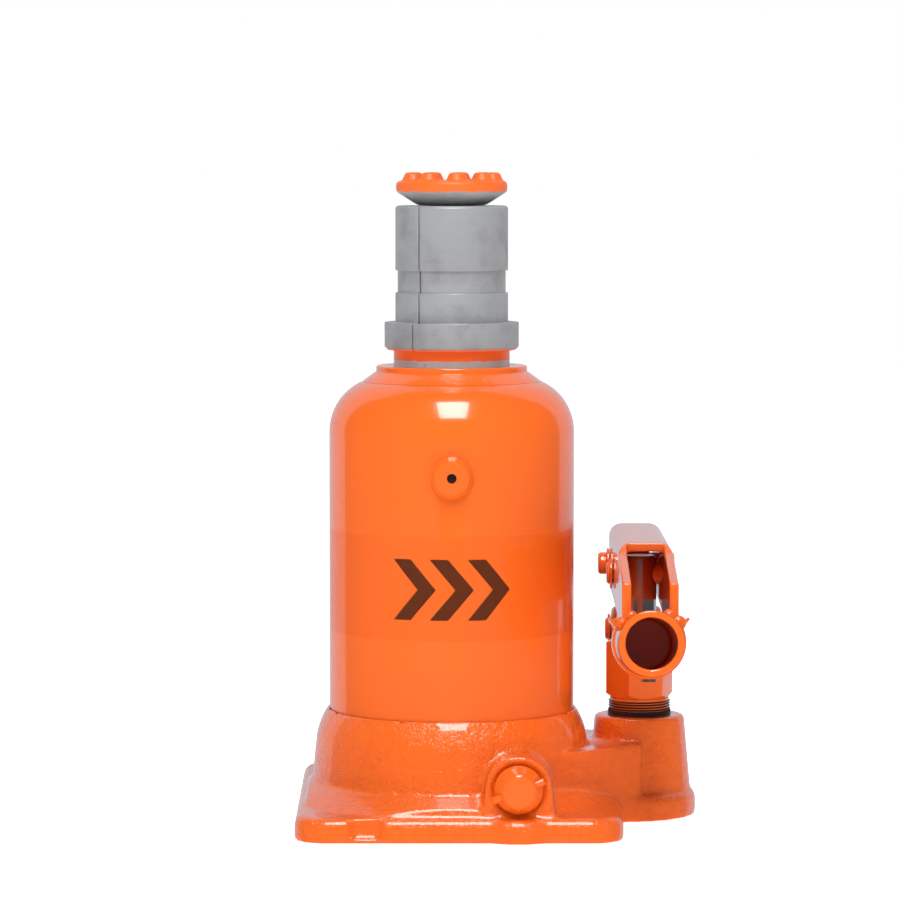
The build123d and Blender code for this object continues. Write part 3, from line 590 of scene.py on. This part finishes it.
threadSetup = {"low": 0.2225, "pitch": 0.004, "turns": 16, "root": 0.0108, "crest": 0.01195,
               "wide": 0.0030, "narrow": 0.0016, "footRadius": 0.0098, "footHeight": 0.004,
               "footSlope": 0.002, "runOut": 0.001, "sunk": 0.0004, "lift": 0.0016,
               "spigotRadius": 0.008, "spigotHeight": 0.011}


def makeThread():
    setup = threadSetup
    foot, top, runOut = screwFoot, saddleZ, setup["runOut"]
    neck = foot + setup["footHeight"]
    tip = top + setup["spigotHeight"]
    core = turnedPiece("screwCore", [
        (0.0, foot), (setup["footRadius"], foot), (setup["footRadius"], neck),
        (setup["crest"], neck + setup["footSlope"]), (setup["crest"], setup["low"] - 2 * runOut),
        (setup["root"], setup["low"] - runOut), (setup["root"], top - 2 * runOut),
        (setup["crest"], top - runOut), (setup["crest"], top), (setup["spigotRadius"], top),
        (setup["spigotRadius"], tip), (0.0, tip)], 96)
    bpy.ops.object.select_all(action="DESELECT")
    bpy.ops.mesh.primitive_plane_add(size=1, location=(0, 0, 0))
    ridge = bpy.context.object
    onlyThis(ridge)
    corners = [(setup["root"] - setup["sunk"], -setup["wide"] / 2), (setup["crest"], -setup["narrow"] / 2),
               (setup["crest"], setup["narrow"] / 2), (setup["root"] - setup["sunk"], setup["wide"] / 2)]
    for vertex, (r, z) in zip([ridge.data.vertices[i] for i in (0, 1, 3, 2)], corners):
        vertex.co = (r, 0, setup["low"] + setup["lift"] + z)
    bpy.ops.object.mode_set(mode="EDIT")
    bpy.ops.mesh.select_all(action="SELECT")
    bpy.ops.mesh.delete(type="ONLY_FACE")
    bpy.ops.object.mode_set(mode="OBJECT")
    applyMod(ridge, "SCREW", steps=48, render_steps=48, screw_offset=setup["pitch"],
             iterations=setup["turns"], axis="Z")
    onlyThis(ridge)
    bpy.ops.object.mode_set(mode="EDIT")
    bpy.ops.mesh.select_all(action="SELECT")
    bpy.ops.mesh.fill_holes(sides=6)
    bpy.ops.object.mode_set(mode="OBJECT")
    bpy.ops.object.select_all(action="DESELECT")
    ridge.select_set(True)
    core.select_set(True)
    bpy.context.view_layer.objects.active = core
    bpy.ops.object.join()
    piece = bpy.context.object
    piece.name = "threadedScrew"
    cleanUp(piece, 0.000001)
    smoothBy(piece, 30)
    return finishPiece(piece, "screw", "ground_steel", groundSteel, "extension_screw")


# clear film round the tank's front, and three plain chevrons under it

filmSetup = {"low": 0.090, "high": 0.138, "inner": 0.05759, "outer": 0.05772, "from": -172, "to": -8}
chevronSetup = {"middle": 0.1135, "step": 0.0175, "tall": 0.0140, "wide": 0.0085, "lean": 0.85, "count": 3,
                "deep": 0.0006, "radius": 0.05756, "film": 0.00002}


def arcStrip(name, inner, outer, low, high, first, last):
    bpy.ops.mesh.primitive_plane_add(size=1, location=(0, 0, 0))
    piece = bpy.context.object
    piece.name = name
    for vertex, (r, z) in zip([piece.data.vertices[i] for i in (0, 1, 3, 2)],
                              [(inner, low), (outer, low), (outer, high), (inner, high)]):
        vertex.co = (r, 0, z)
    piece.data.transform(Matrix.Rotation(math.radians(first), 4, "Z"))
    onlyThis(piece)
    bpy.ops.object.mode_set(mode="EDIT")
    bpy.ops.mesh.select_all(action="SELECT")
    bpy.ops.mesh.spin(steps=96, angle=math.radians(first - last), center=(0, 0, 0), axis=(0, 0, 1))
    bpy.ops.mesh.select_all(action="SELECT")
    bpy.ops.mesh.fill_holes(sides=4)
    bpy.ops.object.mode_set(mode="OBJECT")
    cleanUp(piece, 0.000001)
    smoothBy(piece, 30)
    return piece


def makeFilm():
    setup = filmSetup
    film = arcStrip("clearFilm", setup["inner"], setup["outer"], setup["low"], setup["high"],
                    setup["from"], setup["to"])
    finishPiece(film, "frame", None, filmClear)


def makeChevrons():
    # each bar lies in a flat strip, which is cut finely and then bent round the tank
    setup = chevronSetup
    bars = []
    for index in range(setup["count"]):
        x = (index - (setup["count"] - 1) / 2) * setup["step"] + setup["lean"] * setup["tall"] / 2
        for side in (-1, 1):
            bpy.ops.mesh.primitive_cube_add(size=1, location=(0, 0, 0))
            bar = bpy.context.object
            onlyThis(bar)
            bpy.ops.object.mode_set(mode="EDIT")
            bpy.ops.mesh.select_all(action="SELECT")
            bpy.ops.mesh.subdivide(number_cuts=9)
            bpy.ops.object.mode_set(mode="OBJECT")
            lean = Matrix.Identity(4)
            lean[0][2] = -side * setup["lean"]
            bar.data.transform(Matrix.Translation((0, 0, side * 0.5)))
            bar.data.transform(Matrix.Diagonal((setup["wide"], setup["deep"], setup["tall"], 1)))
            bar.data.transform(Matrix.Translation((x, 0, setup["middle"])) @ lean)
            bars.append(bar)
    bpy.ops.object.select_all(action="DESELECT")
    for bar in bars:
        bar.select_set(True)
    bpy.context.view_layer.objects.active = bars[0]
    bpy.ops.object.join()
    piece = bpy.context.object
    piece.name = "chevrons"
    bpy.ops.object.select_all(action="DESELECT")
    radius = setup["radius"]
    for vertex in piece.data.vertices:
        out = radius - vertex.co.y / setup["deep"] * setup["film"]
        angle = vertex.co.x / radius
        vertex.co = (out * math.sin(angle), -out * math.cos(angle), vertex.co.z)
    cleanUp(piece, 0.000001)
    return finishPiece(piece, "frame", None, printBlack)


makeSoftened()
print("stage: softened pieces")
makeMelted()
print("stage: casting, lever and saddle")
makePlugHoleShade()
makePumpNeck()
makeBeads()
print("stage: beads")
makeThread()
print("stage: thread")
makeFilm()
makeChevrons()
print("stage: film and chevrons")


# CAD nodes that keep their own shape, with their finishes

nodeFinish = {
    "groundSteel": (groundSteel, ["pressure_cylinder"]),
    "zincSteel": (zincSteel, ["clip_rivet", "second_ram_stop_ring", "screw_stop_ring", "suction_plug",
                              "delivery_plug", "overload_screw", "suction_ball", "delivery_ball",
                              "overload_ball", "release_ball", "delivery_spring", "overload_spring"]),
    "rubberAndShadeBlack": (rubberAndShadeBlack, ["tank_base_gasket", "top_nut_seal", "ram_wiper", "collar_wiper",
                                  "first_ram_seal", "second_ram_seal", "pump_washer",
                                  "pump_gland_seal", "release_oring"]),
    "copperSoft": (copperSoft, ["cylinder_gasket", "pump_seat_washer"]),
    "nylonCream": (nylonCream, ["first_ram_bearing", "second_ram_bearing"]),
}
for material, names in nodeFinish.values():
    for name in names:
        node = cadNodes[name]
        node.data.materials.clear()
        node.data.materials.append(material)
